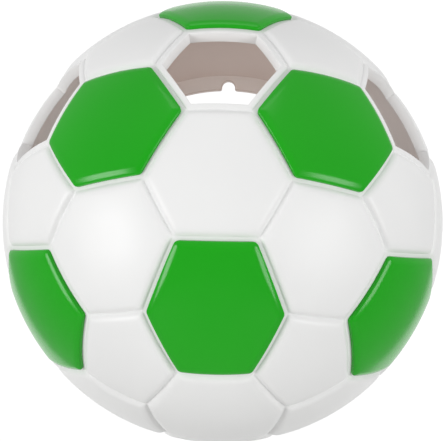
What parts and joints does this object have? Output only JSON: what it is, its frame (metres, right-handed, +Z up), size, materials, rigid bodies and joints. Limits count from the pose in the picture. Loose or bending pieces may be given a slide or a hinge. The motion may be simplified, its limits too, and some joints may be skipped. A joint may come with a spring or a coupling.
{
  "type": "children's wall lamp",
  "caption": "Hollow football wall lamp: white shade with glossy green panels and open hexagonal windows, hung from a rim notch, with a screw-in bulb inside.",
  "frame": {"origin": "centre of the back rim's circle, on the wall plane", "axes": "+Z up, +Y into the wall, the ball faces -Y"},
  "size_m": [0.25, 0.1912, 0.2505],
  "materials": {
    "white_shade": "satin moulded white",
    "green_panel": "high gloss green",
    "zinc_steel": "zinc plated",
    "rivet_aluminium": "plain",
    "holder_plastic": "moulded white",
    "grip_nylon": "natural nylon",
    "insert_plastic": "moulded",
    "brass": "plain",
    "tip_solder": "tinned",
    "black_glass": "glossy black",
    "nickel": "nickel plated",
    "bulb_plastic": "white",
    "opal_dome": "opal",
    "board": "white solder mask",
    "chips": "phosphor"
  },
  "bodies": {
    "lamp": {"shade_shell": "white_shade", "green_panel_lower_centre": "green_panel", "green_panel_upper_right": "green_panel", "green_panel_upper_left": "green_panel", "green_panel_lower_right": "green_panel", "green_panel_top": "green_panel", "green_panel_lower_left": "green_panel", "back_strap": "zinc_steel", "strap_screws": "zinc_steel", "strap_nuts": "zinc_steel", "holder_arm": "zinc_steel", "arm_rivets": "rivet_aluminium", "lock_washer": "zinc_steel", "cord_grip": "holder_plastic", "grip_screw": "grip_nylon", "holder_cap": "holder_plastic", "holder_barrel": "holder_plastic", "holder_insert": "insert_plastic", "terminal_screws": "brass", "screw_shell": "brass", "centre_contact": "brass"},
    "bulb_lift": {"bulb_tip": "tip_solder", "bulb_insulator": "black_glass"},
    "bulb": {"bulb_cap": "nickel", "bulb_collar": "bulb_plastic", "bulb_dome": "opal_dome", "led_board": "board", "led_chips": "chips"}
  },
  "joints": [
    {"name": "bulb_rise", "type": "slide", "parent": "lamp", "child": "bulb_lift", "axis": [0, 0, 1], "range_m": [0, 0.00987]},
    {"name": "bulb_turn", "type": "hinge", "parent": "bulb_lift", "child": "bulb", "pos_m": [0, -0.062, 0], "axis": [0, 0, 1], "range_deg": [0, 1260]}
  ],
  "couplings": [
    {"joint": "bulb_turn", "follows": "bulb_rise", "rad_per_m": 2228}
  ]
}
